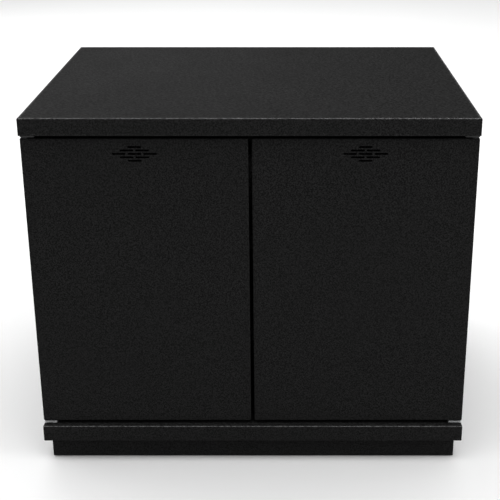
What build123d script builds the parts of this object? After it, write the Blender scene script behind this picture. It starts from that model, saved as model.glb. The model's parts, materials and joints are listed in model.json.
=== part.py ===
from build123d import *
import os

# Two-door steel media cabinet on a recessed plinth, in millimetres with +Z up.
# The origin is on the floor under the middle of the cabinet. The doors face -Y,
# and +X is the cabinet's right-hand side for somebody standing in front of it.

# ---- Whole cabinet -----------------------------------------------------------
WIDTH = 762.0            # over the side walls, the top and the base
DEPTH = 610.0            # over the top and the base
HEIGHT = 647.5           # floor to the top surface
SLAB = 29.5              # thickness of the folded top and of the folded base
BASE_UNDERSIDE = 43.5    # floor to the underside of the base
SHEET = 1.2              # steel sheet
BEND = 2.4               # outer radius of a folded edge
FIT = 0.2                # assembly gap between two sheets that meet edge to edge
WALL = 25.4              # double-skinned side wall
LIP = 45.0               # inward lip under the top and the base
BACK_RECESS = 4.0        # back of the side walls in front of the back of the top
SLAB_STIFFENER = (50.0, 18.0)    # crown and flange of the hat sections in top and base
SLAB_STIFFENER_Y = 130.0         # either side of the cabinet's middle

# ---- Doors -------------------------------------------------------------------
DOOR_SETBACK = 10.7      # door face behind the front of the top and base
DOOR_THICKNESS = 20.0
DOOR_GAP_TOP = 7.0
DOOR_GAP_BOTTOM = 6.0
DOOR_GAP_CENTRE = 6.0
DOOR_GAP_BEHIND = 3.0    # room behind a closed door, in front of the side walls
LINER_FOLD = 6.0         # depth of the door liner's edge fold
DOOR_STIFFENER = (430.0, 36.0, 14.0)   # length, crown and flange of the hat section
DOOR_STIFFENER_DROP = 40.0             # stiffener's middle below the door's middle
VENT_SLOT = (23.0, 3.5)      # length and height of one door vent slot
VENT_PITCH = (26.0, 5.95)    # slot to slot along a row, and row to row
VENT_ROWS = (1, 2, 3, 2, 1)  # slots in each row, top to bottom
VENT_BELOW_TOP = 26.7        # middle row below the top edge of the door

# ---- Pivots ------------------------------------------------------------------
PIVOT_FROM_SIDE = 8.0    # door pivot in from the outer edge of the door
PIVOT_FROM_FACE = 8.0    # door pivot behind the door face
PIN = (3.0, 20.0)        # radius and length
BUSH = (4.2, 7.0, 0.75)  # body radius, flange radius and flange thickness
BUSH_PLAY = 0.05         # pin to bush
HINGE_BLOCK = (27.4, 16.0)       # width and height of the block that holds a bush
HINGE_BLOCK_GAP = 0.3            # block to liner
BRACKET = 4.0            # thickness of a pivot bracket
BRACKET_WIDTH = 25.0
BRACKET_TAIL = 40.0      # length of bracket inside the side wall
BRACKET_SETBACK = 0.5    # nose of the bracket behind the door face
BRACKET_CORNER = 3.0
BRACKET_SCREW_Y = (13.0, 31.0)   # behind the front of the side walls

# ---- Shelves -----------------------------------------------------------------
SHELF_SIZE = (706.0, 510.0, 22.0)
SHELF_FRONT = 55.0       # shelf front edge behind the front of the cabinet
SHELF_LIP = 14.0         # inward lip under a shelf
SHELF_NOTCHES = {"lower": 4, "upper": 11}   # the clip slot that carries each shelf
CLIP_SLOT = (3.2, 12.0)  # width and height
CLIP_PITCH = 25.4
CLIP_SLOTS = 20
CLIP_FIRST = 112.0       # height of the lowest clip slot
CLIP_COLUMNS = (-205.0, 205.0)
CLIP_PLATE = (8.0, 14.0, 1.5)    # half width, half height and thickness
CLIP_LEDGE = 15.0        # clip ledge out from the wall
CLIP_HOOK = (1.4, 4.0, 3.5)      # half width, half height and reach into the wall

# ---- Back --------------------------------------------------------------------
BACK_CLEARANCE = (5.0, 0.5)      # back panel inside the walls' faces, and inside the slabs
BACK_VENT = (40.0, 5.0)          # length and height of one slot in the back
BACK_VENT_PITCH = (48.0, 11.0)
BACK_VENT_ROWS = (7, 6, 7, 6, 7, 6, 7, 6)
BACK_VENT_LOW = 470.0            # height of the lowest row
BACK_SCREW_HEAD = 2.2
CABLE_PORTS = ((-225.0, 150.0), (225.0, 150.0))
CABLE_PORT = (100.0, 56.0, 10.0)       # width, height and corner radius
TRIM = (4.0, 2.0)        # edge trim over the sheet's face, and its thickness

# ---- Plinth and glides -------------------------------------------------------
PLINTH_INSET_SIDE = 11.6
PLINTH_INSET_FRONT = 17.0
PLINTH_SHEET = 1.5
PLINTH_FLANGES = (30.0, 12.0)   # width of the top and bottom flange
PLINTH_BOLT_INSET = 15.0        # bolts inside the plinth's outer faces
FLOOR_CLEARANCE = 2.0           # plinth above the floor when the glides are right in
GUSSET = (12.0, 15.0)           # underside and upper face of the corner gussets
GUSSET_REACH = 26.0             # gusset past the glide's centre, towards the middle
GLIDE_INSET = 34.0              # glide centre inside the plinth's outer faces
GLIDE_STUD = 5.0                # radius of the threaded stud
GLIDE_TOP = 42.0                # top of the stud
GLIDE_PAD = (15.0, 6.0)         # radius and height of the foot
GLIDE_COLLAR = (9.0, 11.7)      # hexagon radius over corners, and height of its top
GLIDE_NUT = 8.0                 # height of the nut welded to a gusset

# ---- Touch latches -----------------------------------------------------------
HEADER_DEPTH = 25.0      # channel under the top that carries the latches
HEADER_DROP = 20.0
HEADER_SETBACK = 3.0     # channel behind the front of the side walls
LATCH_X = 45.0           # latch centre either side of the cabinet's middle
LATCH_TRAVEL = 2.4
LATCH_BODY = (22.0, 60.0, 18.0)
LATCH_BELOW_HEADER = 9.0         # plunger axis below the header rail
LATCH_EAR = (21.0, 6.0, 3.0)     # half width, half depth and thickness of the screw ears
LATCH_SCREW = 1.6
LATCH_SCREW_X = 16.0
LATCH_BORE = 52.0
PLUNGER = (4.0, 26.0)            # rod radius, and rod length inside the body
PLUNGER_PLAY = 0.1               # rod to bore, and spare gap at the end of the stroke
CUP = (6.5, 4.0)                 # radius and length of the plunger's head
CUP_BEHIND_MAGNET = 0.2
MAGNET = (5.0, 3.2)              # radius and length
SPRING = (3.0, 0.45, 9)          # coil radius, wire radius and turns
STRIKE = (30.0, 28.0, 1.5)       # width, height and thickness of the strike plate
STRIKE_GAP = 0.1                 # magnet face to strike plate
STRIKE_SCREW = 1.8
STRIKE_SCREW_X = 11.0

# ---- Fasteners: shank or hole radii ------------------------------------------
SCREW = 2.5
BOLT = 3.0
HOLE_PLAY = 0.1          # hole radius over shank radius
HEAD = 2.0               # head radius over shank radius
BOLT_HEAD = 4.0
BOLT_LENGTH = 10.0
BRACKET_BOLT = (14.0, 3.0)       # length and head height
NUT = 5.0
PAST = 1.0               # how far a cutter runs past the face that it opens

# ---- Places worked out from the driving dimensions ---------------------------
SIDE = WIDTH / 2
FRONT, BACK = -DEPTH / 2, DEPTH / 2
BASE_TOP = BASE_UNDERSIDE + SLAB
TOP_UNDERSIDE = HEIGHT - SLAB
DOOR_FACE = FRONT + DOOR_SETBACK
DOOR_BACK = DOOR_FACE + DOOR_THICKNESS
DOOR_LOW = BASE_TOP + DOOR_GAP_BOTTOM
DOOR_HIGH = TOP_UNDERSIDE - DOOR_GAP_TOP
DOOR_CENTRE = (DOOR_LOW + DOOR_HIGH) / 2
DOOR_WIDTH = SIDE - DOOR_GAP_CENTRE / 2
DOOR_MIDDLE = -(SIDE + DOOR_GAP_CENTRE / 2) / 2
WALL_FRONT = DOOR_BACK + DOOR_GAP_BEHIND
WALL_BACK = BACK - BACK_RECESS
WALL_INNER = SIDE - WALL
WALL_MIDDLE = SIDE - WALL / 2
PIVOT_X = -(SIDE - PIVOT_FROM_SIDE)
PIVOT_Y = DOOR_FACE + PIVOT_FROM_FACE
BRACKET_LOW = BASE_TOP + SHEET                  # underside of a bottom bracket
BRACKET_HIGH = TOP_UNDERSIDE - SHEET - BRACKET  # underside of a top bracket
BACK_SHEET = (WALL_BACK, WALL_BACK + SHEET)
BACK_CUT = (WALL_BACK - PAST, WALL_BACK + SHEET + PAST)
PLINTH_X = SIDE - PLINTH_INSET_SIDE
PLINTH_Y = -FRONT - PLINTH_INSET_FRONT
HEADER_FRONT = WALL_FRONT + HEADER_SETBACK
HEADER_LOW = TOP_UNDERSIDE - HEADER_DROP
LATCH_Z = HEADER_LOW - LATCH_BELOW_HEADER
MAGNET_FACE = DOOR_BACK + STRIKE[2] + STRIKE_GAP
CUP_FACE = MAGNET_FACE + CUP_BEHIND_MAGNET
LATCH_FRONT = CUP_FACE + CUP[1] + LATCH_TRAVEL + PLUNGER_PLAY
PLUNGER_END = LATCH_FRONT + PLUNGER[1]
BORE_END = LATCH_FRONT + LATCH_BORE


def both_places(places):
    """Places on the left-hand side, and their twins on the right."""
    return places + [(-x, other) for x, other in places]


BRACKET_BOLTS = [(-WALL_MIDDLE, WALL_FRONT + y) for y in BRACKET_SCREW_Y]
WALL_BOLTS = [(-WALL_MIDDLE, y) for y in (-120.0, 80.0, 260.0)]
BACK_SCREWS = [(-WALL_MIDDLE, z) for z in (105.0, 225.0, 345.0, 465.0, 585.0)]
PLINTH_BOLTS = [(x, y * (PLINTH_Y - PLINTH_BOLT_INSET)) for y in (-1, 1) for x in (-240.0, 240.0)]
PLINTH_BOLTS += [(x * (PLINTH_X - PLINTH_BOLT_INSET), y) for x in (-1, 1) for y in (-120.0, 120.0)]
LATCH_SCREWS = [(-LATCH_X + x, HEADER_FRONT + HEADER_DEPTH / 2) for x in (-LATCH_SCREW_X, LATCH_SCREW_X)]
STRIKE_SCREWS = [(-LATCH_X + x, LATCH_Z) for x in (-STRIKE_SCREW_X, STRIKE_SCREW_X)]


# ---- Shapes that every part uses ---------------------------------------------
def block(x, y, z):
    """Box between two corners, each axis given as (low, high)."""
    size = [abs(high - low) for low, high in (x, y, z)]
    return Pos(sum(x) / 2, sum(y) / 2, sum(z) / 2) * Box(*size)


def rod_z(x, y, z, radius):
    """Cylinder along Z between the heights z = (low, high)."""
    return Pos(x, y, sum(z) / 2) * Cylinder(radius, z[1] - z[0])


def rod_y(x, z, y, radius):
    """Cylinder along Y between the places y = (front, back)."""
    return Pos(x, sum(y) / 2, z) * Rot(90, 0, 0) * Cylinder(radius, y[1] - y[0])


def prism_y(profile, x, z, y):
    """Flat profile extruded along Y between the places y = (front, back)."""
    solid = extrude(profile, amount=(y[1] - y[0]) / 2, both=True)
    return Pos(x, sum(y) / 2, z) * Rot(90, 0, 0) * solid


def hexagon_z(x, y, z, radius):
    """Hexagonal bar along Z, radius measured over the corners."""
    return Pos(x, y, z[0]) * extrude(RegularPolygon(radius, 6), amount=z[1] - z[0])


def folded_pan(length, width, depth, lip=0.0):
    """Sheet folded down on four sides from a closed face at z = 0.

    The lip is an inward fold round the open side, measured from outside.
    """
    outer = Pos(0, 0, -depth / 2) * Box(length, width, depth)
    bends = outer.edges().filter_by(Axis.Z) + outer.faces().sort_by(Axis.Z)[-1].edges()
    outer = fillet(bends, BEND)
    hollow = depth - SHEET - (SHEET if lip else 0.0)
    inner = Box(length - 2 * SHEET, width - 2 * SHEET, hollow)
    inner = fillet(inner.faces().sort_by(Axis.Z)[-1].edges(), BEND - SHEET)
    pan = outer - Pos(0, 0, -SHEET - hollow / 2) * inner
    if lip:
        pan -= Pos(0, 0, -depth) * Box(length - 2 * lip, width - 2 * lip, 4 * SHEET)
    return pan


def hat_channel(length, crown, flange, depth):
    """Hat section along X: crown at z = 0, flanges at z = -depth."""
    half = length / 2
    legs = crown / 2 + SHEET
    body = block((-half, half), (-legs, legs), (-depth, 0))
    body += block((-half, half), (-legs - flange, legs + flange), (-depth, -depth + SHEET))
    return body - block((-half, half), (-crown / 2, crown / 2), (-depth, -SHEET))


def mirrored(shape):
    """The same piece on the other side of the cabinet."""
    return mirror(shape, about=Plane.YZ)


def both_sides(shapes):
    """The left-hand pieces and their right-hand twins, as one list."""
    return list(shapes) + [mirrored(shape) for shape in shapes]


def save(name, *shapes):
    """Writes one node, which may be a group of separate solids."""
    solids = [solid for shape in shapes for solid in shape.solids()]
    node = solids[0] if len(solids) == 1 else Compound(children=solids)
    export_step(node, f"parts/{name}.step")


def save_pair(name, *shapes):
    """Writes a left-hand node and its right-hand twin."""
    save(f"{name}_left", *shapes)
    save(f"{name}_right", *[mirrored(shape) for shape in shapes])


def drill_z(shape, places, z, radius):
    for x, y in places:
        shape -= rod_z(x, y, z, radius)
    return shape


def drill_y(shape, places, y, radius):
    for x, z in places:
        shape -= rod_y(x, z, y, radius)
    return shape


def bolt_z(x, y, face, up, radius, length, head_height):
    """Bolt along Z: its head stands on the face, and its shank goes the other way."""
    head = sorted((face, face + up * head_height))
    shank = sorted((face, face - up * length))
    return rod_z(x, y, head, HEAD * radius) + rod_z(x, y, shank, radius)


def nut_z(x, y, face, up, radius, height):
    """Nut along Z that stands on the face."""
    z = sorted((face, face + up * height))
    return hexagon_z(x, y, z, HEAD * radius) - rod_z(x, y, z, radius + HOLE_PLAY / 2)


# ---- Top and base ------------------------------------------------------------
def slab(name, surface, holes):
    """Folded pan, closed from below by a flush panel, with two hat sections between.

    The holes are (places, height) pairs, each height a level in the sheet to drill.
    """
    underside = surface - SLAB
    pan = Pos(0, 0, surface) * folded_pan(WIDTH, DEPTH, SLAB, LIP)
    for places, level in holes:
        pan = drill_z(pan, places, (level - SHEET, level + SHEET), BOLT + HOLE_PLAY)
    save(f"{name}_pan", pan)

    half_x, half_y = SIDE - LIP - FIT, -FRONT - LIP - FIT
    closed = underside + SHEET
    save(f"{name}_closing_panel", block((-half_x, half_x), (-half_y, half_y), (underside, closed)))

    crown = surface - SHEET
    stiffener = hat_channel(2 * half_x, *SLAB_STIFFENER, crown - closed)
    save(f"{name}_stiffeners", *(Pos(0, y, crown) * stiffener for y in (-SLAB_STIFFENER_Y, SLAB_STIFFENER_Y)))


def top_and_base():
    wall_holes = both_places(WALL_BOLTS + BRACKET_BOLTS)
    slab("top", HEIGHT, [(wall_holes, TOP_UNDERSIDE)])
    slab("base", BASE_TOP, [(wall_holes, BASE_TOP), (PLINTH_BOLTS, BASE_UNDERSIDE)])


# ---- Side walls --------------------------------------------------------------
def side_walls():
    height = TOP_UNDERSIDE - BASE_TOP
    middle_y, middle_z = (WALL_FRONT + WALL_BACK) / 2, (TOP_UNDERSIDE + BASE_TOP) / 2
    panel = folded_pan(height, WALL_BACK - WALL_FRONT, WALL)
    panel = Pos(-SIDE, middle_y, middle_z) * Rot(0, -90, 0) * panel
    for low in (BRACKET_LOW, BRACKET_HIGH):
        panel -= block((-SIDE + SHEET, -WALL_INNER - SHEET),
                       (WALL_FRONT - PAST, WALL_FRONT + 2 * SHEET), (low, low + BRACKET))
    for flange in ((BASE_TOP, BRACKET_LOW), (BRACKET_HIGH + BRACKET, TOP_UNDERSIDE)):
        panel = drill_z(panel, WALL_BOLTS + BRACKET_BOLTS, flange, BOLT + HOLE_PLAY)
    panel = drill_y(panel, BACK_SCREWS, (WALL_BACK - SHEET - PAST, WALL_BACK + PAST), SCREW + HOLE_PLAY)
    save_pair("side_panel", panel)

    inset = SHEET + FIT
    liner = block((-WALL_INNER - SHEET, -WALL_INNER), (WALL_FRONT + inset, WALL_BACK - inset),
                  (BASE_TOP + inset, TOP_UNDERSIDE - inset))
    half_width, half_height = CLIP_SLOT[0] / 2, CLIP_SLOT[1] / 2
    for y in CLIP_COLUMNS:
        for k in range(CLIP_SLOTS):
            z = CLIP_FIRST + k * CLIP_PITCH
            liner -= block((-WALL_INNER - SHEET - PAST, -WALL_INNER + PAST),
                           (y - half_width, y + half_width), (z - half_height, z + half_height))
    save_pair("side_liner", liner)


# ---- Frame bolts -------------------------------------------------------------
def frame_bolts():
    """Bolts that join walls, top, base and plinth, each with its nut."""
    bolts, nuts = [], []
    joints = []
    for x, y in both_places(WALL_BOLTS):
        joints.append((x, y, BRACKET_LOW, BASE_TOP - SHEET, 1))
        joints.append((x, y, BRACKET_HIGH + BRACKET, TOP_UNDERSIDE + SHEET, -1))
    for x, y in PLINTH_BOLTS:
        joints.append((x, y, BASE_UNDERSIDE - PLINTH_SHEET, BASE_UNDERSIDE + SHEET, -1))
    for x, y, head_face, nut_face, up in joints:
        bolts.append(bolt_z(x, y, head_face, up, BOLT, BOLT_LENGTH, BOLT_HEAD))
        nuts.append(nut_z(x, y, nut_face, -up, BOLT, NUT))
    for x, y in both_places(BRACKET_BOLTS):
        nuts.append(nut_z(x, y, BASE_TOP - SHEET, -1, BOLT, NUT))
        nuts.append(nut_z(x, y, TOP_UNDERSIDE + SHEET, 1, BOLT, NUT))
    save("frame_bolts", *bolts)
    save("frame_nuts", *nuts)


# ---- Back --------------------------------------------------------------------
def port(place, y, grow=0.0):
    """Cable port as a prism along Y, grown on every side."""
    width, height, corner = CABLE_PORT
    profile = RectangleRounded(width + 2 * grow, height + 2 * grow, corner + grow)
    return prism_y(profile, *place, y)


def back_panel():
    """Screwed-on back with brick-bond vents and two trimmed cable ports."""
    half = SIDE - BACK_CLEARANCE[0]
    panel = block((-half, half), BACK_SHEET, (BASE_TOP + BACK_CLEARANCE[1], TOP_UNDERSIDE - BACK_CLEARANCE[1]))
    for row, count in enumerate(BACK_VENT_ROWS):
        z = BACK_VENT_LOW + row * BACK_VENT_PITCH[1]
        for k in range(count):
            x = (k - (count - 1) / 2) * BACK_VENT_PITCH[0]
            panel -= prism_y(SlotOverall(*BACK_VENT), x, z, BACK_CUT)
    panel = drill_y(panel, both_places(BACK_SCREWS), BACK_CUT, SCREW + HOLE_PLAY)
    for place in CABLE_PORTS:
        panel -= port(place, BACK_CUT)
    save("back_panel", panel)

    outside = BACK_SHEET[1]
    head = (outside, outside + BACK_SCREW_HEAD)
    shank = (outside - BOLT_LENGTH, outside)
    save("back_screws", *(rod_y(x, z, head, HEAD * SCREW) + rod_y(x, z, shank, SCREW)
                          for x, z in both_places(BACK_SCREWS)))

    lap, thickness = TRIM
    over = (BACK_SHEET[0] - thickness, BACK_SHEET[1] + thickness)
    past = (over[0] - PAST, over[1] + PAST)
    trims = []
    for place in CABLE_PORTS:
        groove = port(place, BACK_SHEET, 2 * lap) - port(place, BACK_CUT)
        trims.append(port(place, over, lap) - port(place, past, -lap) - groove)
    save("cable_port_trims", *trims)


# ---- Plinth and glides -------------------------------------------------------
def plinth_rail(length, outer, flange_length):
    """Channel along X with its web's outer face at y = -outer."""
    top_flange, bottom_flange = PLINTH_FLANGES
    low, high = FLOOR_CLEARANCE, BASE_UNDERSIDE
    half, flange_half = length / 2, flange_length / 2
    web = block((-half, half), (-outer, -outer + PLINTH_SHEET), (low, high))
    top = block((-flange_half, flange_half), (-outer, -outer + top_flange), (high - PLINTH_SHEET, high))
    bottom = block((-flange_half, flange_half), (-outer, -outer + bottom_flange), (low, low + PLINTH_SHEET))
    return web + top + bottom


def plinth():
    hole = (BASE_UNDERSIDE - PLINTH_SHEET - PAST, BASE_UNDERSIDE + PAST)
    front = plinth_rail(2 * PLINTH_X, PLINTH_Y, 2 * PLINTH_X)
    front = drill_z(front, PLINTH_BOLTS, hole, BOLT + HOLE_PLAY)
    save("plinth_front", front)
    save("plinth_back", mirror(front, about=Plane.XZ))

    between_flanges = 2 * (PLINTH_Y - PLINTH_FLANGES[0] - FIT)
    side = plinth_rail(between_flanges, PLINTH_X, between_flanges)
    side = Rot(0, 0, -90) * side
    side = drill_z(side, PLINTH_BOLTS, hole, BOLT + HOLE_PLAY)
    web = PLINTH_Y - PLINTH_SHEET - FIT
    side += block((-PLINTH_X, -PLINTH_X + PLINTH_SHEET), (-web, web),
                  (FLOOR_CLEARANCE + PLINTH_SHEET, BASE_UNDERSIDE - PLINTH_SHEET))
    save_pair("plinth_side", side)


def glides():
    """Corner gussets with welded nuts, and the levelling glides in them."""
    gussets, nuts = [], []
    for side_y, end in ((-1, "front"), (1, "back")):
        for side_x, side in ((-1, "left"), (1, "right")):
            x, y = side_x * (PLINTH_X - GLIDE_INSET), side_y * (PLINTH_Y - GLIDE_INSET)
            outward = GLIDE_INSET - PLINTH_SHEET - FIT
            gusset = block(sorted((x - side_x * GUSSET_REACH, x + side_x * outward)),
                           sorted((y - side_y * GUSSET_REACH, y + side_y * outward)), GUSSET)
            gussets.append(gusset - rod_z(x, y, GUSSET, GLIDE_STUD + HOLE_PLAY))
            nuts.append(nut_z(x, y, GUSSET[1], 1, GLIDE_STUD, GLIDE_NUT))
            pad_radius, pad_height = GLIDE_PAD
            collar_radius, collar_top = GLIDE_COLLAR
            pad = rod_z(x, y, (0, pad_height), pad_radius)
            pad = fillet(pad.edges().group_by(Axis.Z)[-1], BEND)
            collar = hexagon_z(x, y, (pad_height, collar_top), collar_radius)
            stud = collar + rod_z(x, y, (collar_top, GLIDE_TOP), GLIDE_STUD)
            save(f"glide_pad_{end}_{side}", pad)
            save(f"glide_stud_{end}_{side}", stud)
    save("plinth_gussets", *gussets)
    save("glide_nuts", *nuts)


# ---- Shelves -----------------------------------------------------------------
def shelves():
    clips = []
    half_width, half_height, thickness = CLIP_PLATE
    hook_width, hook_height, hook_reach = CLIP_HOOK
    middle_y = FRONT + SHELF_FRONT + SHELF_SIZE[1] / 2
    for name, notch in SHELF_NOTCHES.items():
        slot = CLIP_FIRST + notch * CLIP_PITCH
        underside = slot + CLIP_SLOT[1] / 2
        shelf = folded_pan(*SHELF_SIZE, SHELF_LIP)
        save(f"shelf_{name}", Pos(0, middle_y, underside + SHELF_SIZE[2]) * shelf)
        for y in CLIP_COLUMNS:
            plate = block((-WALL_INNER, -WALL_INNER + thickness), (y - half_width, y + half_width),
                          (underside - half_height, underside + half_height))
            ledge = block((-WALL_INNER, -WALL_INNER + CLIP_LEDGE), (y - half_width, y + half_width),
                          (underside - thickness, underside))
            hook = block((-WALL_INNER - hook_reach, -WALL_INNER), (y - hook_width, y + hook_width),
                         (slot - hook_height, slot + hook_height))
            clips.append(plate + ledge + hook)
    save("shelf_clips", *both_sides(clips))


# ---- Doors and pivots --------------------------------------------------------
def vent_cutters():
    """The diamond of slots through the left-hand door."""
    through = (DOOR_FACE - PAST, DOOR_BACK + PAST)
    cutters = []
    for row, count in enumerate(VENT_ROWS):
        z = DOOR_HIGH - VENT_BELOW_TOP + ((len(VENT_ROWS) - 1) / 2 - row) * VENT_PITCH[1]
        for k in range(count):
            x = DOOR_MIDDLE + (k - (count - 1) / 2) * VENT_PITCH[0]
            cutters.append(prism_y(SlotOverall(*VENT_SLOT), x, z, through))
    return cutters


def door_shells():
    """Skin, liner and stiffener of the left-hand door."""
    height = DOOR_HIGH - DOOR_LOW
    skin = folded_pan(DOOR_WIDTH, height, DOOR_THICKNESS)
    skin = Pos(DOOR_MIDDLE, DOOR_FACE, DOOR_CENTRE) * Rot(90, 0, 0) * skin
    inset = 2 * (SHEET + FIT)
    liner = folded_pan(DOOR_WIDTH - inset, height - inset, LINER_FOLD)
    liner = Pos(DOOR_MIDDLE, DOOR_BACK, DOOR_CENTRE) * Rot(-90, 0, 0) * liner
    for cutter in vent_cutters():
        skin -= cutter
        liner -= cutter
    liner = drill_y(liner, STRIKE_SCREWS, (DOOR_BACK - SHEET - PAST, DOOR_BACK + PAST),
                    STRIKE_SCREW + HOLE_PLAY)
    length, crown, flange = DOOR_STIFFENER
    stiffener = hat_channel(length, crown, flange, DOOR_THICKNESS - 2 * (SHEET + FIT))
    stiffener = Rot(0, 90, 0) * Rot(90, 0, 0) * stiffener
    place = Pos(DOOR_MIDDLE, DOOR_FACE + SHEET + FIT, DOOR_CENTRE - DOOR_STIFFENER_DROP)
    return skin, liner, place * stiffener


def door_pivot(edge, inward):
    """Bush, its block and the hole for them, at one edge of the left-hand door."""
    width, height = HINGE_BLOCK
    radius, flange_radius, flange = BUSH
    inner = edge + inward * SHEET
    z = sorted((inner, inner + inward * height))
    hole = rod_z(PIVOT_X, PIVOT_Y, (z[0] - SHEET - PAST, z[1] + SHEET + PAST), radius)
    pivot_block = block((-SIDE + BEND + FIT, -SIDE + BEND + FIT + width),
                        (DOOR_FACE + BEND + FIT, DOOR_BACK - LINER_FOLD - HINGE_BLOCK_GAP), z)
    body = sorted((edge, inner + inward * height))
    collar = sorted((edge - inward * flange, edge))
    bush = rod_z(PIVOT_X, PIVOT_Y, body, radius) + rod_z(PIVOT_X, PIVOT_Y, collar, flange_radius)
    bore = rod_z(PIVOT_X, PIVOT_Y, (body[0] - PAST, body[1] + PAST), PIN[0] + BUSH_PLAY)
    return bush - bore, pivot_block - hole, hole


def strike():
    """Steel plate that the left-hand latch's magnet holds, with its screws."""
    width, height, thickness = STRIKE
    face = (DOOR_BACK, DOOR_BACK + thickness)
    plate = block((-LATCH_X - width / 2, -LATCH_X + width / 2), face,
                  (LATCH_Z - height / 2, LATCH_Z + height / 2))
    plate = drill_y(plate, STRIKE_SCREWS, face, HEAD * STRIKE_SCREW + HOLE_PLAY)
    shank = (DOOR_BACK - LINER_FOLD, DOOR_BACK)
    screws = [rod_y(x, z, face, HEAD * STRIKE_SCREW) + rod_y(x, z, shank, STRIKE_SCREW)
              for x, z in STRIKE_SCREWS]
    return plate, screws


def doors():
    skin, liner, stiffener = door_shells()
    bushes, blocks = [], []
    for edge, inward in ((DOOR_LOW, 1), (DOOR_HIGH, -1)):
        bush, pivot_block, hole = door_pivot(edge, inward)
        bushes.append(bush)
        blocks.append(pivot_block)
        skin -= hole
    plate, screws = strike()
    save_pair("door_skin", skin)
    save_pair("door_liner", liner)
    save_pair("door_stiffener", stiffener)
    save_pair("door_hinge_blocks", *blocks)
    save_pair("door_bushes", *bushes)
    save_pair("strike_plate", plate)
    save_pair("strike_screws", *screws)


def pivots():
    """Pivot brackets in the gaps above and below the doors, with pins and bolts."""
    brackets, pins, bolts = [], [], []
    for low, up in ((BRACKET_LOW, 1), (BRACKET_HIGH, -1)):
        z = (low, low + BRACKET)
        nose = block((-SIDE, -SIDE + BRACKET_WIDTH), (DOOR_FACE + BRACKET_SETBACK, WALL_FRONT), z)
        nose = fillet(nose.edges().filter_by(Axis.Z).group_by(Axis.Y)[0], BRACKET_CORNER)
        bracket = nose + block((-SIDE + BEND + FIT, -WALL_INNER - SHEET - FIT),
                               (WALL_FRONT, WALL_FRONT + BRACKET_TAIL), z)
        bracket -= rod_z(PIVOT_X, PIVOT_Y, z, PIN[0])
        brackets.append(drill_z(bracket, BRACKET_BOLTS, z, BOLT + HOLE_PLAY))
        root, inner_face = (z[0], z[1]) if up > 0 else (z[1], z[0])
        pins.append(rod_z(PIVOT_X, PIVOT_Y, sorted((root, root + up * PIN[1])), PIN[0]))
        for x, y in BRACKET_BOLTS:
            bolts.append(bolt_z(x, y, inner_face, up, BOLT, *BRACKET_BOLT))
    for level, bracket in zip(("bottom", "top"), brackets):
        save(f"pivot_brackets_{level}", *both_sides([bracket]))
    save("pivot_pins", *both_sides(pins))
    save("pivot_bracket_bolts", *both_sides(bolts))


# ---- Touch latches -----------------------------------------------------------
def header_rail():
    """Channel across the cabinet under the top, behind the doors."""
    half = WALL_INNER - FIT
    y = (HEADER_FRONT, HEADER_FRONT + HEADER_DEPTH)
    rail = block((-half, half), y, (HEADER_LOW, TOP_UNDERSIDE))
    rail = fillet(rail.edges().filter_by(Axis.X).group_by(Axis.Z)[0], BEND)
    rail -= block((-half, half), (y[0] + SHEET, y[1] - SHEET), (HEADER_LOW + SHEET, TOP_UNDERSIDE))
    holes = (HEADER_LOW - PAST, HEADER_LOW + SHEET + PAST)
    save("header_rail", drill_z(rail, both_places(LATCH_SCREWS), holes, LATCH_SCREW + HOLE_PLAY))


def latch_body():
    width, length, height = LATCH_BODY
    ear_x, ear_y, ear = LATCH_EAR
    body = block((-LATCH_X - width / 2, -LATCH_X + width / 2), (LATCH_FRONT, LATCH_FRONT + length),
                 (HEADER_LOW - height, HEADER_LOW))
    body = fillet(body.edges().filter_by(Axis.Y).group_by(Axis.Z)[0], BEND)
    screw_y = LATCH_SCREWS[0][1]
    body += block((-LATCH_X - ear_x, -LATCH_X + ear_x), (screw_y - ear_y, screw_y + ear_y),
                  (HEADER_LOW - ear, HEADER_LOW))
    body -= rod_y(-LATCH_X, LATCH_Z, (LATCH_FRONT - PAST, BORE_END), PLUNGER[0] + PLUNGER_PLAY)
    return drill_z(body, LATCH_SCREWS, (HEADER_LOW - ear - PAST, HEADER_LOW + PAST), LATCH_SCREW + HOLE_PLAY)


def latch_spring():
    radius, wire, turns = SPRING
    space = wire + PLUNGER_PLAY
    length = BORE_END - PLUNGER_END - 2 * space
    helix = Helix(pitch=length / turns, height=length, radius=radius)
    section = Plane(origin=helix @ 0, z_dir=helix % 0) * Circle(wire)
    spring = Rot(-90, 0, 0) * sweep(section, path=helix, is_frenet=True)
    return Pos(-LATCH_X, PLUNGER_END + space, LATCH_Z) * spring


def latches():
    magnet = rod_y(-LATCH_X, LATCH_Z, (MAGNET_FACE, MAGNET_FACE + MAGNET[1]), MAGNET[0])
    plunger = rod_y(-LATCH_X, LATCH_Z, (CUP_FACE, CUP_FACE + CUP[1]), CUP[0])
    plunger += rod_y(-LATCH_X, LATCH_Z, (CUP_FACE + CUP[1], PLUNGER_END), PLUNGER[0])
    save_pair("latch_body", latch_body())
    save_pair("latch_plunger", plunger - magnet)
    save_pair("latch_magnet", magnet)
    save_pair("latch_spring", latch_spring())
    screws = [bolt_z(x, y, HEADER_LOW - LATCH_EAR[2], -1, LATCH_SCREW, BOLT_LENGTH, LATCH_SCREW)
              for x, y in LATCH_SCREWS]
    save("latch_screws", *both_sides(screws))


os.makedirs("parts", exist_ok=True)
top_and_base()
side_walls()
frame_bolts()
back_panel()
plinth()
glides()
shelves()
doors()
pivots()
header_rail()
latches()
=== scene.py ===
import json
import math

import bmesh
import bpy
from mathutils import Matrix, Vector


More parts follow.
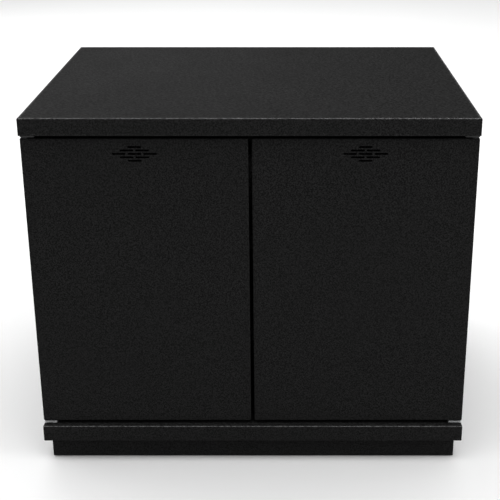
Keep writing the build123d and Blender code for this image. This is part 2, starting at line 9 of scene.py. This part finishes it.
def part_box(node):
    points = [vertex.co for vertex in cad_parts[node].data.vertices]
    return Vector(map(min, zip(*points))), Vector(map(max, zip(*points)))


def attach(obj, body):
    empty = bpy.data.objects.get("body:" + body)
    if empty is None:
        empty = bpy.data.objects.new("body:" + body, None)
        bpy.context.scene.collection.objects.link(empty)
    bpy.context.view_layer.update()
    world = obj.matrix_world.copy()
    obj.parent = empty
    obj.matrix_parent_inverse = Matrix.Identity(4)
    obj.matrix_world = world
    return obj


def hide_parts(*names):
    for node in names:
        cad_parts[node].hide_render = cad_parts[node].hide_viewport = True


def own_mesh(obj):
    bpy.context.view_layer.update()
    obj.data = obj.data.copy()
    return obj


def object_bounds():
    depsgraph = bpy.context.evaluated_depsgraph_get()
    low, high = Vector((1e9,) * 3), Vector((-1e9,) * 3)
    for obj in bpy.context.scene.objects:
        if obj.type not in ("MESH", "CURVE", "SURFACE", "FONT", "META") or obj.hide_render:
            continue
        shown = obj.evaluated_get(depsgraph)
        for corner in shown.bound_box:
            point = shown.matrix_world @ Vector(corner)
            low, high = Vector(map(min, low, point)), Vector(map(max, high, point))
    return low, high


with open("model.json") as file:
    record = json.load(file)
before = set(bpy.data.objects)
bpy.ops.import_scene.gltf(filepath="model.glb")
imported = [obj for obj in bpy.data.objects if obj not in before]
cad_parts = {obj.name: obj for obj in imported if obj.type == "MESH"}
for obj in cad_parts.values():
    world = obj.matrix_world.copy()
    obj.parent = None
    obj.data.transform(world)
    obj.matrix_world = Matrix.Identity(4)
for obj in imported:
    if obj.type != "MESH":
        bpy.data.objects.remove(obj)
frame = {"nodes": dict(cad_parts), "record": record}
cad_low, cad_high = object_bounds()
record = frame["record"]

MM = 0.001
ALONG_Y, ALONG_Z = 1, 2


def grey(level):
    """Neutral colour of that level in linear light."""
    return (level, level, level)


# ---- Materials ---------------------------------------------------------------
class Finish:
    """One node material, with short forms for the nodes that the finishes share."""

    def __init__(self, name):
        self.material = bpy.data.materials.new(name)
        self.material.use_nodes = True
        self.tree = self.material.node_tree
        self.tree.nodes.clear()
        self.shader = self.add("ShaderNodeBsdfPrincipled")
        output = self.add("ShaderNodeOutputMaterial")
        self.link(self.shader.outputs["BSDF"], output.inputs["Surface"])
        self.place = self.add("ShaderNodeTexCoord").outputs["Object"]
        # Turned out of line with the flat faces, so that no face lies along a plane of a texture's own grid.
        turn = self.add("ShaderNodeMapping")
        turn.inputs["Rotation"].default_value = (0.6, 0.4, 0.9)
        self.link(self.place, turn.inputs["Vector"])
        self.askew = turn.outputs["Vector"]

    def add(self, kind, **settings):
        node = self.tree.nodes.new(kind)
        for key, value in settings.items():
            setattr(node, key, value)
        return node

    def link(self, source, target):
        self.tree.links.new(source, target)

    def set(self, **values):
        """Constant values on the shader's own sockets."""
        for key, value in values.items():
            self.shader.inputs[key.replace("_", " ")].default_value = value

    def stretched(self, scale):
        """The place with each axis scaled, for grain that runs one way."""
        node = self.add("ShaderNodeMapping")
        node.inputs["Scale"].default_value = scale
        self.link(self.place, node.inputs["Vector"])
        return node.outputs["Vector"]

    def noise(self, size, detail=2.0, roughness=0.5, place=None):
        """Noise whose features are about that size, in metres."""
        node = self.add("ShaderNodeTexNoise")
        node.inputs["Scale"].default_value = 1.0 / size
        node.inputs["Detail"].default_value = detail
        node.inputs["Roughness"].default_value = roughness
        self.link(place or self.askew, node.inputs["Vector"])
        return node.outputs["Fac"]

    def cells(self, size, feature="F1"):
        """Distance in a field of cells about that size, in metres."""
        node = self.add("ShaderNodeTexVoronoi", feature=feature)
        node.inputs["Scale"].default_value = 1.0 / size
        self.link(self.askew, node.inputs["Vector"])
        return node.outputs["Distance"]

    def math(self, operation, a, b):
        node = self.add("ShaderNodeMath", operation=operation)
        for socket, value in zip(node.inputs, (a, b)):
            if isinstance(value, float):
                socket.default_value = value
            else:
                self.link(value, socket)
        return node.outputs["Value"]

    def spread(self, value, low, high, to_low=0.0, to_high=1.0):
        """The value with low..high stretched to to_low..to_high, and held there."""
        node = self.add("ShaderNodeMapRange")
        for key, number in (("From Min", low), ("From Max", high), ("To Min", to_low), ("To Max", to_high)):
            node.inputs[key].default_value = number
        self.link(value, node.inputs["Value"])
        return node.outputs["Result"]

    def colours(self, factor, first, second):
        """From the first colour to the second, either one given as a socket or as red, green, blue."""
        node = self.add("ShaderNodeMix", data_type="RGBA")
        self.link(factor, node.inputs["Factor"])
        for socket, value in ((node.inputs[6], first), (node.inputs[7], second)):
            if isinstance(value, tuple):
                socket.default_value = (*value, 1.0)
            else:
                self.link(value, socket)
        return node.outputs[2]

    def rounded(self, radius):
        """The normal as it would be with every edge rounded to that radius."""
        node = self.add("ShaderNodeBevel", samples=4)
        node.inputs["Radius"].default_value = radius
        return node.outputs["Normal"]

    def edges(self, radius):
        """1 on an edge of the shape and 0 away from it."""
        dot = self.add("ShaderNodeVectorMath", operation="DOT_PRODUCT")
        self.link(self.rounded(radius), dot.inputs[0])
        self.link(self.add("ShaderNodeNewGeometry").outputs["Normal"], dot.inputs[1])
        return self.spread(dot.outputs["Value"], 0.97, 0.80)

    def height_of(self, normal):
        """How far up a normal points."""
        parts = self.add("ShaderNodeSeparateXYZ")
        self.link(normal, parts.inputs["Vector"])
        return parts.outputs["Z"]

    def level_faces(self):
        """1 on faces that look straight up and 0 elsewhere."""
        up = self.height_of(self.add("ShaderNodeNewGeometry").outputs["Normal"])
        return self.spread(up, 0.95, 0.99)

    def upper_edges(self, radius, lowest, highest):
        """1 along a bend where the rounded normal's height is between those two, and 0 elsewhere: where the
        slabs' painted highlight goes.
        """
        up = self.height_of(self.rounded(radius))
        from_below = self.spread(up, lowest, lowest + 0.4 * (1.0 - lowest))
        from_above = self.spread(up, highest, 0.7 * highest + 0.3 * lowest)
        return self.math("MULTIPLY", from_below, from_above)

    def bump(self, height, depth, under=None):
        """Relief of that depth in metres, on top of the relief under it."""
        node = self.add("ShaderNodeBump")
        node.inputs["Distance"].default_value = depth
        self.link(height, node.inputs["Height"])
        if under is not None:
            self.link(under, node.inputs["Normal"])
        return node.outputs["Normal"]

    def finish(self, colour, roughness, normal):
        self.link(colour, self.shader.inputs["Base Color"])
        self.link(roughness, self.shader.inputs["Roughness"])
        self.link(normal, self.shader.inputs["Normal"])
        return self.material


def powder_coat(name, rim=None, painted_highlight=0.0):
    """Black polyester powder coat with a fine pebbled texture and dust on level faces.

    A slab's rim is its front bend, where a painted highlight is laid in dashes on the part that faces up: its
    radius, and the lowest and highest that the rounded normal points there. The last argument is how bright
    that painted highlight is.
    """
    f = Finish(name)
    pebbles = f.cells(2.2 * MM, "SMOOTH_F1")
    speckle = f.noise(2.3 * MM, detail=1.0)
    dust = f.noise(4.4 * MM, detail=2.0)
    cloud = f.noise(160 * MM, detail=3.0)
    coat = f.colours(f.spread(speckle, 0.36, 0.66), grey(0.0066), grey(0.0188))
    dusty = f.colours(f.spread(dust, 0.38, 0.64), grey(0.0058), grey(0.0212))
    colour = f.colours(f.math("MULTIPLY", f.level_faces(), 0.75), coat, dusty)
    colour = f.colours(f.spread(cloud, 0.35, 0.7, 0.0, 0.18), colour, grey(0.0125))
    worn = f.spread(f.noise(22 * MM, detail=4.0), 0.45, 0.75)
    corners = f.math("MULTIPLY", f.edges(1.2 * MM), worn)
    colour = f.colours(f.math("MULTIPLY", corners, 0.15), colour, grey(0.030))
    # Painted highlight: the upper part of the slab's front bend is painted pale in dashes, in place of the
    # light it catches from above.
    if rim:
        dashes = f.spread(f.noise(5.5 * MM, detail=2.0), 0.36, 0.60, 0.30, 1.0)
        colour = f.colours(f.math("MULTIPLY", f.upper_edges(*rim), dashes), colour, grey(painted_highlight))
    roughness = f.math("ADD", f.spread(speckle, 0.3, 0.7, 0.50, 0.64), f.spread(cloud, 0.3, 0.7, -0.03, 0.03))
    relief = f.bump(f.math("ADD", f.math("MULTIPLY", pebbles, -1.0), dust), 0.30 * MM)
    f.set(Specular_IOR_Level=0.006)
    return f.finish(colour, roughness, relief)


def zinc():
    """Zinc plate: pale, faintly spangled and brushed, with dull patches."""
    f = Finish("zinc")
    spangle = f.cells(2.2 * MM)
    drawn = f.noise(0.5 * MM, detail=4.0, place=f.stretched((0.15, 1.0, 1.0)))
    patches = f.noise(9 * MM, detail=4.0)
    colour = f.colours(f.spread(spangle, 0.1, 0.7), (0.50, 0.505, 0.515), (0.66, 0.665, 0.67))
    colour = f.colours(f.spread(patches, 0.45, 0.75, 0.0, 0.5), colour, (0.36, 0.362, 0.37))
    roughness = f.math("ADD", f.spread(patches, 0.3, 0.7, 0.38, 0.55),
                       f.spread(drawn, 0.3, 0.7, -0.05, 0.05))
    f.set(Metallic=1.0)
    return f.finish(colour, roughness, f.bump(drawn, 0.015 * MM, f.bump(spangle, 0.01 * MM)))


def moulded(name, dark, light, rough, grain=0.35 * MM):
    """Dull dark skin, such as plastic, rubber or black oxide, with a fine grain and edges worn pale."""
    f = Finish(name)
    fine = f.noise(grain, detail=3.0, roughness=0.6)
    broad = f.noise(14 * MM, detail=3.0)
    colour = f.colours(f.spread(broad, 0.3, 0.7), dark, light)
    pale = tuple(min(1.0, 1.6 * channel + 0.01) for channel in light)
    colour = f.colours(f.math("MULTIPLY", f.edges(0.5 * MM), 0.4), colour, pale)
    roughness = f.math("ADD", f.spread(fine, 0.3, 0.7, rough - 0.05, rough + 0.05),
                       f.spread(broad, 0.3, 0.7, -0.04, 0.04))
    return f.finish(colour, roughness, f.bump(fine, 0.03 * MM))


def plated(name, dark, light, rough):
    """Bright metal with fine scratches and finger-dulled patches."""
    f = Finish(name)
    scratches = f.noise(0.4 * MM, detail=5.0, place=f.stretched((1.0, 0.08, 1.0)))
    patches = f.noise(4 * MM, detail=3.0)
    colour = f.colours(f.spread(patches, 0.35, 0.7), light, dark)
    roughness = f.math("ADD", f.spread(patches, 0.3, 0.7, rough, rough + 0.14),
                       f.spread(scratches, 0.3, 0.7, -0.04, 0.06))
    f.set(Metallic=1.0)
    return f.finish(colour, roughness, f.bump(scratches, 0.008 * MM))


FINISHES = {
    "powder_coat": powder_coat("powder_coat"),
    "zinc": zinc(),
    "black_oxide": moulded("black_oxide", grey(0.007), grey(0.013), 0.58, grain=0.2 * MM),
    "black_plastic": moulded("black_plastic", grey(0.012), (0.020, 0.020, 0.021), 0.45),
    "magnet": plated("magnet", grey(0.42), (0.62, 0.61, 0.60), 0.14),
    "spring_steel": plated("spring_steel", (0.28, 0.28, 0.30), (0.50, 0.50, 0.52), 0.26),
    "rubber": moulded("rubber", grey(0.010), grey(0.016), 0.72, grain=0.6 * MM),
}

# Copies of the powder coat for the two slabs, each with a painted highlight along its front bend.
SLAB_COATS_WITH_PAINTED_HIGHLIGHT = {
    "top_pan": powder_coat("powder_coat_top_painted_highlight", rim=(5.0 * MM, 0.90, 0.9999), painted_highlight=0.34),
    "base_pan": powder_coat("powder_coat_base_painted_highlight", rim=(2.2 * MM, 0.66, 0.975), painted_highlight=0.19),
}

for row in record["subparts"]:
    mesh = frame["nodes"][row["node"]].data
    mesh.materials.clear()
    mesh.materials.append(SLAB_COATS_WITH_PAINTED_HIGHLIGHT.get(row["node"]) or FINISHES[row["material_slot"]])


# ---- Detailed pieces -----------------------------------------------------------
def solids_of(node):
    """The points of each separate solid in a CAD node, in a fixed order."""
    bm = bmesh.new()
    bm.from_mesh(frame["nodes"][node].data)
    bmesh.ops.remove_doubles(bm, verts=bm.verts, dist=0.001 * MM)
    left, solids = set(bm.verts), []
    for start in bm.verts:
        if start not in left:
            continue
        left.remove(start)
        reached, solid = [start], []
        while reached:
            vert = reached.pop()
            solid.append(vert.co.copy())
            for edge in vert.link_edges:
                other = edge.other_vert(vert)
                if other in left:
                    left.remove(other)
                    reached.append(other)
        solids.append(solid)
    bm.free()
    return solids


def skin(bm, loops):
    """Faces that join each loop of points to the next."""
    count = len(loops[0])
    for below, above in zip(loops, loops[1:]):
        for k in range(count):
            after = (k + 1) % count
            bm.faces.new((below[k], below[after], above[after], above[k]))


def turned(bm, place, rings, count):
    """Turned shape along its own Z, open at its far end. A ring is (radius, height), and a radius may be
    a function of the angle."""
    loops = []
    for radius, height in rings:
        loop = []
        for k in range(count):
            angle = 2 * math.pi * k / count
            r = radius(angle) if callable(radius) else radius
            loop.append(bm.verts.new(place @ Vector((r * math.cos(angle), r * math.sin(angle), height))))
        loops.append(loop)
    bm.faces.new(loops[0])
    skin(bm, loops)
    return loops[-1]


def thread(radius, pitch, low, high, steps=6):
    """Rings of a single-start thread whose crests have that radius, with a lead-in at the low end."""
    depth = 0.55 * pitch
    rings = []
    for k in range(int((high - low) / pitch * steps) + 1):
        height = low + k * pitch / steps
        lead = max(0.0, depth - (height - low))

        def wave(angle, height=height, lead=lead):
            turn = (height / pitch - angle / (2 * math.pi)) % 1.0
            return radius - max(lead, depth * abs(2 * turn - 1))

        rings.append((wave, height))
    return rings


def hexagon(radius, limit):
    """Radius of a hexagon over its corners, cut off at the limit."""
    def edge(angle):
        off = (angle % (math.pi / 3)) - math.pi / 6
        return min(limit, radius * math.cos(math.pi / 6) / math.cos(off))
    return edge


def outline(recess, size):
    """Corners of a cross or a hexagon that a driver fits."""
    if recess == "cross":
        arm, half = size, 0.24 * size
        quarter = [(arm, -half), (arm, half), (half, half)]
        corners = []
        for turn in range(4):
            corners += quarter
            quarter = [(-y, x) for x, y in quarter]
        return corners
    return [(size * math.cos(k * math.pi / 3), size * math.sin(k * math.pi / 3)) for k in range(6)]


def close_with_recess(bm, place, rim, recess, size, top, depth):
    """Closes a screw head at its rim with a flat face that has a tapered driver recess."""
    def loop(scale, height):
        points = [Vector((scale * x, scale * y, height)) for x, y in outline(recess, size)]
        return [bm.verts.new(place @ point) for point in points]

    taper = 0.62 if recess == "cross" else 0.96
    mouth, floor = loop(1.0, top), loop(taper, top - depth)
    edges = []
    for ring in (rim, mouth):
        for k, vert in enumerate(ring):
            after = ring[(k + 1) % len(ring)]
            edges.append(bm.edges.get((vert, after)) or bm.edges.new((vert, after)))
    bmesh.ops.triangle_fill(bm, use_beauty=True, edges=edges)
    for k, vert in enumerate(mouth):
        after = (k + 1) % len(mouth)
        bm.faces.new((vert, mouth[after], floor[after], floor[k]))
    bm.faces.new(floor)


# Each head's outline, and its recess's size and depth, as shares of the head's radius and height.
PAN_HEAD = [(0.97, 0.0), (1.0, 0.10), (1.0, 0.34), (0.96, 0.62), (0.88, 0.84), (0.74, 0.97), (0.64, 1.0)]
SOCKET_HEAD = [(0.97, 0.0), (1.0, 0.06), (1.0, 0.84), (0.97, 0.93), (0.90, 1.0)]
HEADS = {"cross": (PAN_HEAD, 0.52, 0.70), "hexagon": (SOCKET_HEAD, 0.50, 0.60)}


def fastener(bm, solid, axis, recess):
    """Screw or bolt in the place, and of the size, of one CAD solid along that axis."""
    low = [min(point[k] for point in solid) for k in range(3)]
    high = [max(point[k] for point in solid) for k in range(3)]
    across = [k for k in range(3) if k != axis]
    middle = [(low[k] + high[k]) / 2 for k in range(3)]
    radii = [math.hypot(*(point[k] - middle[k] for k in across)) for point in solid]
    head_radius = max(radii)
    head = [point[axis] for point, radius in zip(solid, radii) if radius > 0.9 * head_radius]
    shank_radius = max(radius for radius in radii if radius < 0.9 * head_radius)
    upward = max(head) > middle[axis]
    middle[axis] = min(head) if upward else max(head)
    out = Vector((0, 0, 0))
    out[axis] = 1.0 if upward else -1.0
    place = Matrix.Translation(middle) @ out.to_track_quat("Z", "Y").to_matrix().to_4x4()
    height = max(head) - min(head)
    length = high[axis] - low[axis] - height
    pitch = 0.32 * shank_radius
    neck = shank_radius * 0.92
    rings = [(0.6 * shank_radius, -length)]
    rings += thread(shank_radius, pitch, -length + 0.1 * MM, -2 * pitch)
    rings += [(neck, -1.5 * pitch), (neck, 0.0)]
    crown, size, depth = HEADS[recess]
    rings += [(part * head_radius, level * height) for part, level in crown]
    rim = turned(bm, place, rings, 36)
    close_with_recess(bm, place, rim, recess, size * head_radius, height, depth * height)


def add_piece(name, bm, body, node, slot_name):
    """Makes the mesh a piece that rides on a body and stands for a CAD node."""
    bmesh.ops.recalc_face_normals(bm, faces=bm.faces)
    mesh = bpy.data.meshes.new(name)
    bm.to_mesh(mesh)
    bm.free()
    mesh.polygons.foreach_set("use_smooth", [True] * len(mesh.polygons))
    mesh.set_sharp_from_angle(angle=math.radians(32))
    mesh.materials.append(FINISHES[slot_name])
    piece = bpy.data.objects.new(name, mesh)
    bpy.context.scene.collection.objects.link(piece)
    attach(piece, body)
    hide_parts(node)
    return piece


def fasteners(name, node, body, axis, recess, slot_name="zinc"):
    bm = bmesh.new()
    for solid in solids_of(node):
        fastener(bm, solid, axis, recess)
    add_piece(name, bm, body, node, slot_name)


def glide_screw(corner):
    """Levelling screw: a hexagonal collar and a threaded stud."""
    node = f"glide_stud_{corner}"
    low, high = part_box(node)
    radius, collar, collar_height, chamfer = 5.0 * MM, 9.0 * MM, 5.7 * MM, 0.5 * MM
    neck, neck_height, pitch = 0.86 * radius, 0.8 * MM, 1.5 * MM
    place = Matrix.Translation(((low.x + high.x) / 2, (low.y + high.y) / 2, low.z))
    full, clipped = hexagon(collar, collar), hexagon(collar, 0.90 * collar)
    rings = [(clipped, 0.0), (full, chamfer), (full, collar_height - chamfer), (clipped, collar_height),
             (neck, collar_height), (neck, collar_height + neck_height)]
    top = high.z - low.z
    turns = thread(radius, pitch, 0.0, top - collar_height - 1.0 * MM)
    rings += [(wave, top - height) for wave, height in reversed(turns)]
    bm = bmesh.new()
    cap = turned(bm, place, rings, 48)
    bm.faces.new(cap)
    add_piece(f"glide_screw_{corner}", bm, f"glide_{corner}", node, "zinc")


def glide_foot(corner):
    """Moulded foot with ribs round its rim and a dished top."""
    node = f"glide_pad_{corner}"
    low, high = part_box(node)
    radius, height = (high.x - low.x) / 2, high.z - low.z
    place = Matrix.Translation(((low.x + high.x) / 2, (low.y + high.y) / 2, low.z))
    edge = [(0.88, 0.0), (0.96, 0.04), (1.0, 0.12), (1.0, 0.20)]
    ribs = [(0.965, 0.25), (0.965, 0.30), (1.0, 0.35), (1.0, 0.44), (0.965, 0.49), (0.965, 0.54), (1.0, 0.59)]
    dish = [(0.985, 0.70), (0.94, 0.84), (0.87, 0.95), (0.80, 1.0), (0.72, 1.0), (0.66, 0.93)]
    profile = edge + ribs + dish
    bm = bmesh.new()
    cap = turned(bm, place, [(part * radius, level * height) for part, level in profile], 64)
    bm.faces.new(cap)
    add_piece(f"glide_foot_{corner}", bm, f"glide_{corner}", node, "rubber")


def latch_coil(side):
    """Compression spring with closed ends, built at the CAD spring's length."""
    node = f"latch_spring_{side}"
    low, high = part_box(node)
    middle = (low + high) / 2
    wire, turns, closed_turns, steps, sides = 0.45 * MM, 9, 1.0, 28, 8
    coil = (high.x - low.x) / 2 - wire
    closed_pitch = 2.06 * wire
    open_length = high.y - low.y - 2 * wire - 2 * closed_turns * closed_pitch
    open_pitch = open_length / (turns - 2 * closed_turns)
    bm = bmesh.new()
    loops = []
    for k in range(turns * steps + 1):
        turn = k / steps
        closed = min(turn, closed_turns) + max(0.0, turn - (turns - closed_turns))
        along = low.y + wire + closed * closed_pitch + (turn - closed) * open_pitch
        outward = Vector((math.cos(2 * math.pi * turn), 0.0, math.sin(2 * math.pi * turn)))
        centre = Vector((middle.x, along, middle.z)) + coil * outward
        loop = []
        for j in range(sides):
            angle = 2 * math.pi * j / sides
            offset = math.cos(angle) * outward + math.sin(angle) * Vector((0.0, 1.0, 0.0))
            loop.append(bm.verts.new(centre + wire * offset))
        loops.append(loop)
    skin(bm, loops)
    bm.faces.new(loops[0])
    bm.faces.new(loops[-1])
    piece = add_piece(f"latch_coil_{side}", bm, "carcass", node, "spring_steel")
    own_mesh(piece)


fasteners("back_panel_screws", "back_screws", "carcass", ALONG_Y, "cross", "black_oxide")
fasteners("frame_socket_bolts", "frame_bolts", "carcass", ALONG_Z, "hexagon")
fasteners("bracket_socket_bolts", "pivot_bracket_bolts", "carcass", ALONG_Z, "hexagon")
fasteners("latch_cross_screws", "latch_screws", "carcass", ALONG_Z, "cross")
for side in ("left", "right"):
    fasteners(f"strike_cross_screws_{side}", f"strike_screws_{side}", f"door_{side}", ALONG_Y, "cross")
    latch_coil(side)
for corner in ("front_left", "front_right", "back_left", "back_right"):
    glide_screw(corner)
    glide_foot(corner)


# ---- Studio ------------------------------------------------------------------
def studio_floor():
    """Seamless pale floor, far larger than the view."""
    reach = 40.0  # metres
    mesh = bpy.data.meshes.new("studio_floor")
    corners = [(-reach, -reach, 0), (reach, -reach, 0), (reach, reach, 0), (-reach, reach, 0)]
    mesh.from_pydata(corners, [], [(0, 1, 2, 3)])
    floor = bpy.data.objects.new("studio_floor", mesh)
    bpy.context.scene.collection.objects.link(floor)
    f = Finish("studio_floor")
    tone = f.noise(0.9, detail=2.0)
    mesh.materials.append(f.finish(f.colours(tone, grey(0.80), grey(0.84)),
                                   f.spread(tone, 0.0, 1.0, 0.85, 0.95),
                                   f.bump(f.noise(0.002), 0.00002)))
    f.set(Specular_IOR_Level=0.0)


def softbox(name, at, aim, size, power):
    """Rectangular area light at a place, facing the aim point."""
    lamp = bpy.data.lights.new(name, "AREA")
    lamp.shape = "RECTANGLE"
    lamp.size, lamp.size_y = size
    lamp.energy = power
    holder = bpy.data.objects.new(name, lamp)
    holder.location = at
    holder.rotation_euler = (Vector(aim) - Vector(at)).to_track_quat("-Z", "Y").to_euler()
    bpy.context.scene.collection.objects.link(holder)


def sky(strength):
    """White surround. Its light is strongest overhead and fades out at the horizon."""
    world = bpy.data.worlds.new("studio")
    world.use_nodes = True
    tree = world.node_tree
    parts = tree.nodes.new("ShaderNodeSeparateXYZ")
    tree.links.new(tree.nodes.new("ShaderNodeTexCoord").outputs["Generated"], parts.inputs["Vector"])
    rise = tree.nodes.new("ShaderNodeMapRange")
    rise.inputs["To Max"].default_value = strength
    tree.links.new(parts.outputs["Z"], rise.inputs["Value"])
    background = tree.nodes["Background"]
    background.inputs["Color"].default_value = (1.0, 1.0, 1.0, 1.0)
    seen = tree.nodes.new("ShaderNodeLightPath").outputs["Is Camera Ray"]
    brighter = tree.nodes.new("ShaderNodeMath")
    brighter.operation = "MAXIMUM"
    tree.links.new(rise.outputs["Result"], brighter.inputs[0])
    tree.links.new(seen, brighter.inputs[1])
    tree.links.new(brighter.outputs["Value"], background.inputs["Strength"])
    bpy.context.scene.world = world


def studio_light():
    """Big soft lights: overhead and behind for the top and floor, one on each side, and a weak front one."""
    sky(1.18)
    middle = (cad_low + cad_high) / 2
    top = Vector((0.0, 0.0, cad_high.z))
    front_edge = Vector((0.0, cad_low.y, cad_high.z))
    softbox("overhead", (-0.3, 1.8, 4.0), middle, (6.0, 6.0), 70.0)
    softbox("behind_left", (-1.5, 4.3, 2.9), top, (3.2, 1.4), 60.0)
    softbox("far_left", (-4.4, 1.0, 2.2), middle, (3.0, 1.6), 40.0)
    softbox("right_fill", (4.0, -1.2, 1.9), middle, (2.5, 1.5), 80.0)
    softbox("front_top", (-0.3, -1.1, 3.2), front_edge, (2.6, 0.9), 21.0)


def camera():
    """Camera where the photographer's stood, from a one-view fit of the cabinet's corners."""
    data = bpy.data.cameras.new("camera")
    data.sensor_width = 36.0
    data.lens = 78.46
    data.shift_x = -0.0641
    data.shift_y = -0.0387
    holder = bpy.data.objects.new("camera", data)
    holder.location = (0.05323, -2.03373, 1.09767)
    holder.rotation_euler = (math.radians(69.53), 0.0, 0.0)
    bpy.context.scene.collection.objects.link(holder)
    bpy.context.scene.camera = holder


studio_floor()
studio_light()
camera()
bpy.context.scene.view_settings.view_transform = "Standard"
